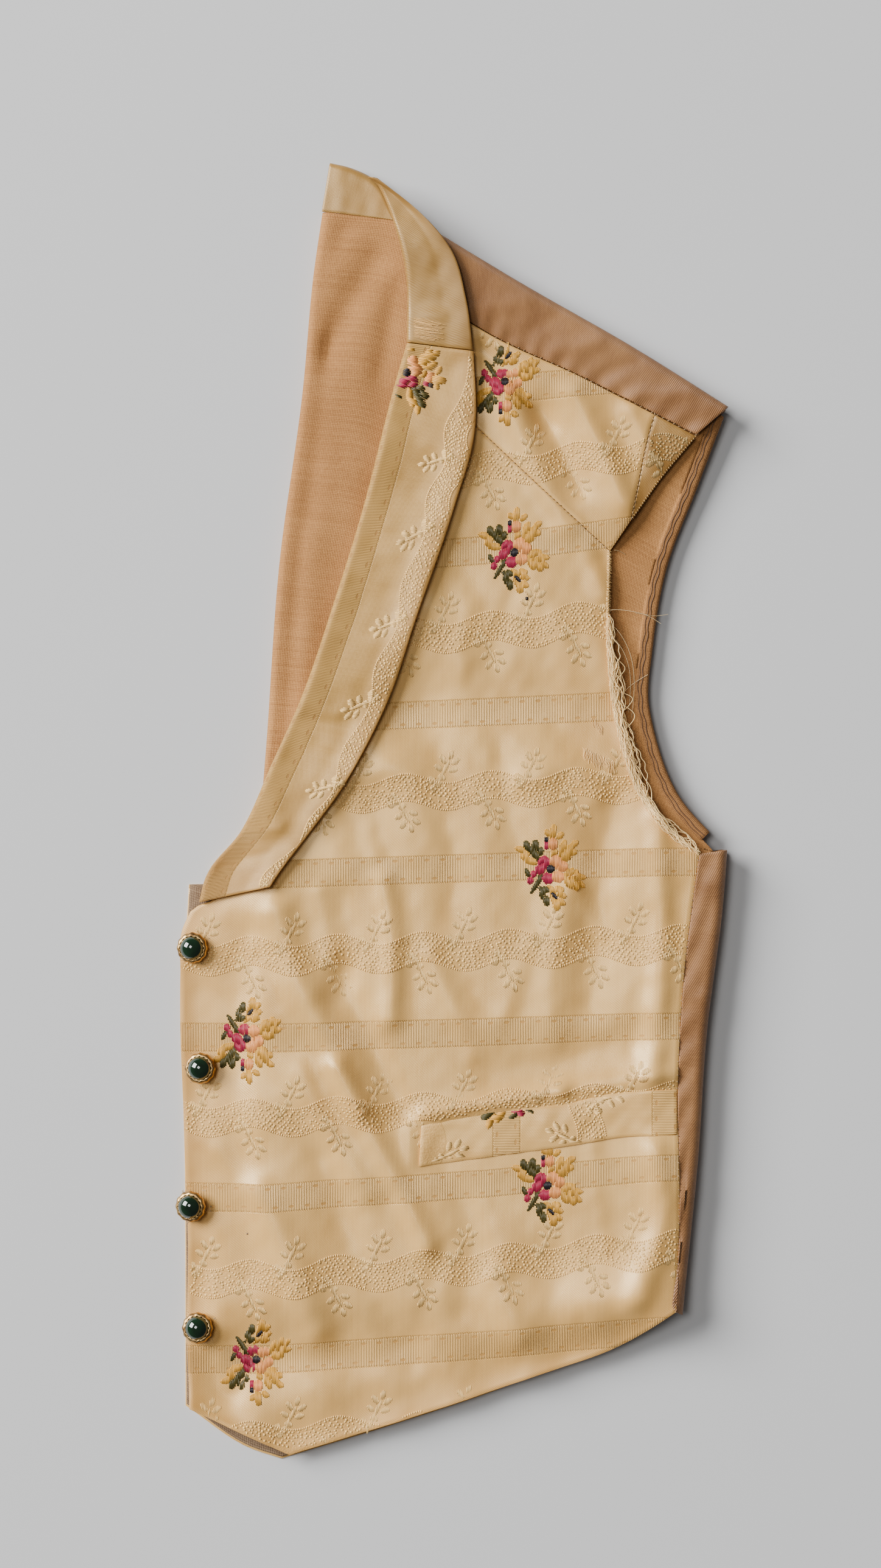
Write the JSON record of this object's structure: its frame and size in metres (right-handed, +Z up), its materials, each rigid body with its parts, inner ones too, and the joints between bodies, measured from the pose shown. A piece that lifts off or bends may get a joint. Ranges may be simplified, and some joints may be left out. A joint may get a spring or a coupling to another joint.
{
  "type": "folded child's waistcoat",
  "caption": "Small boy's sleeveless silk waistcoat with shawl collar, pocket welt and jewelled buttons, folded in half at the centre back and laid flat.",
  "frame": {"origin": "middle of the whole part's footprint, on the surface it lies on", "axes": "+X from the centre back fold to the side fold, +Y from the hem to the collar, +Z up from the surface, out of the wearer's left front"},
  "size_m": [0.1773, 0.417, 0.0126],
  "materials": {
    "brocaded_silk": "cream silk satin with woven ribs, damask ribbons and brocaded sprigs",
    "plain_silk": "plain yellow-cream silk satin",
    "linen_lining": "salmon-beige plain weave linen",
    "silk_twill": "glossy salmon-brown silk twill",
    "inner_layers": "folded linen and twill",
    "gilt_brass": "worn gilding, scalloped rim",
    "green_glass": "dark green polished cabochon"
  },
  "bodies": {
    "root": {"front_left": "brocaded_silk", "front_left_shoulder_piece": "brocaded_silk", "front_left_armhole_piece": "brocaded_silk", "collar_left_lower": "brocaded_silk", "pocket_welt_left": "brocaded_silk", "front_right": "brocaded_silk", "collar_right_lower": "brocaded_silk", "collar_left_upper": "plain_silk", "collar_right_upper": "plain_silk", "collar_stand": "plain_silk", "back_lining_left": "linen_lining", "back_lining_right": "linen_lining", "back_shoulder_left": "silk_twill", "back_side_left": "silk_twill", "back_armhole_edge_left": "silk_twill", "back_shoulder_right": "silk_twill", "back_side_right": "silk_twill", "back_armhole_edge_right": "silk_twill", "back_folded_layers": "inner_layers", "collar_back_folded": "inner_layers", "button_1_mount": "gilt_brass", "button_2_mount": "gilt_brass", "button_3_mount": "gilt_brass", "button_4_mount": "gilt_brass", "button_1_stone": "green_glass", "button_2_stone": "green_glass", "button_3_stone": "green_glass", "button_4_stone": "green_glass"}
  },
  "joints": []
}
